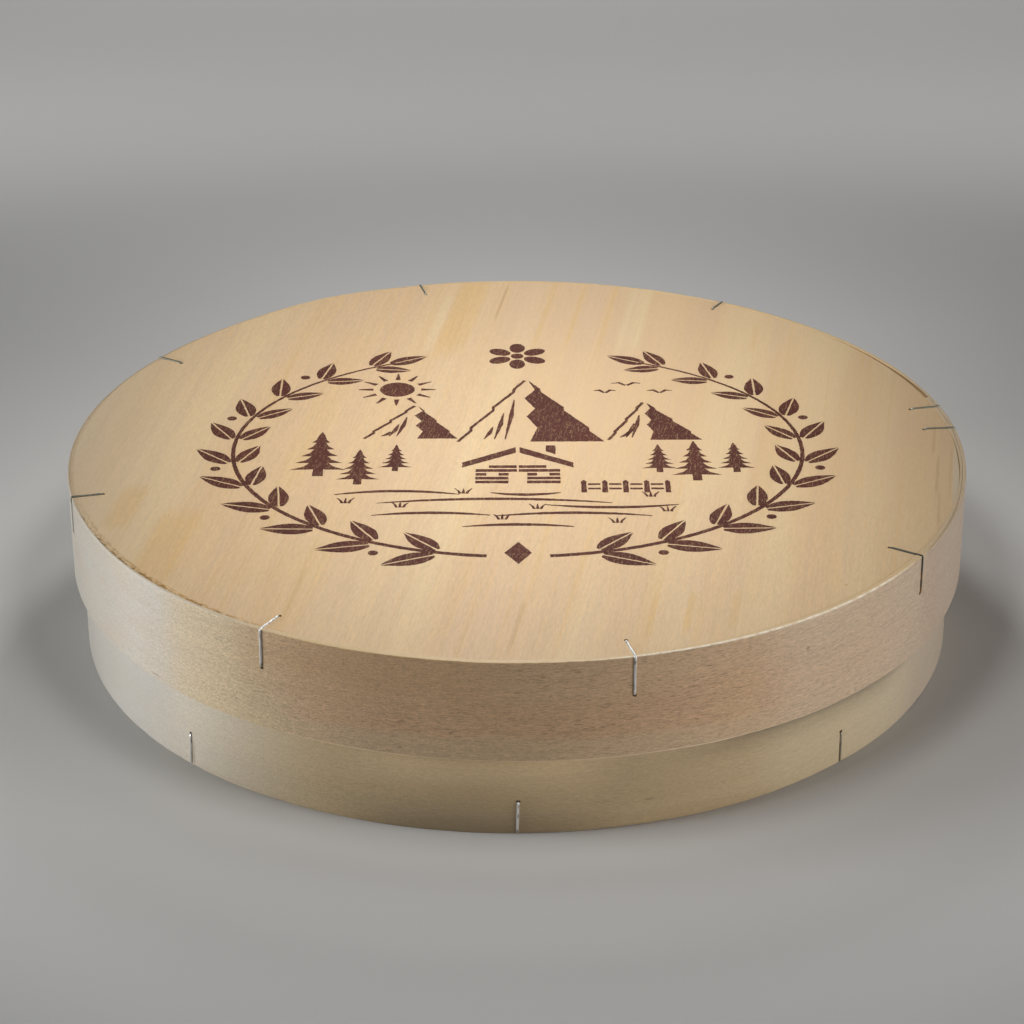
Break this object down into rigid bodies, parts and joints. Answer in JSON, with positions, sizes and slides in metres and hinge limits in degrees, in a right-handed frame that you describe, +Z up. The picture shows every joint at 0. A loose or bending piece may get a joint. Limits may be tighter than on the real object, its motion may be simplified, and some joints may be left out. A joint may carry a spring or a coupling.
{
  "type": "round wooden cheese box",
  "caption": "Shut round box of thin poplar wood for a whole cheese: a shallow lid slipped over its base, each a board in a bent, lapped strip held by wire staples.",
  "frame": {"origin": "middle of the underside", "axes": "+Z up through the lid, -Y towards the front of the lid's print, +X to the side where the lid's strip laps"},
  "size_m": [0.2353, 0.235, 0.0484],
  "materials": {
    "board_wood": "bare sliced poplar, fine straight grain, satin",
    "lid_band_wood": "bare peeled poplar strip, grain along the strip, matte",
    "base_band_wood": "bare peeled poplar strip, smooth, matte",
    "staple_wire": "thin galvanised wire"
  },
  "bodies": {
    "root": {"lid_board": "board_wood", "lid_band": "lid_band_wood", "base_board": "board_wood", "base_band": "base_band_wood", "lid_staple_1": "staple_wire", "lid_staple_2": "staple_wire", "lid_staple_3": "staple_wire", "lid_staple_4": "staple_wire", "lid_staple_5": "staple_wire", "lid_staple_6": "staple_wire", "lid_staple_7": "staple_wire", "lid_staple_8": "staple_wire", "lid_staple_9": "staple_wire", "base_staple_1": "staple_wire", "base_staple_2": "staple_wire", "base_staple_3": "staple_wire", "base_staple_4": "staple_wire", "base_staple_5": "staple_wire", "base_staple_6": "staple_wire", "base_staple_7": "staple_wire", "base_staple_8": "staple_wire"}
  },
  "joints": []
}
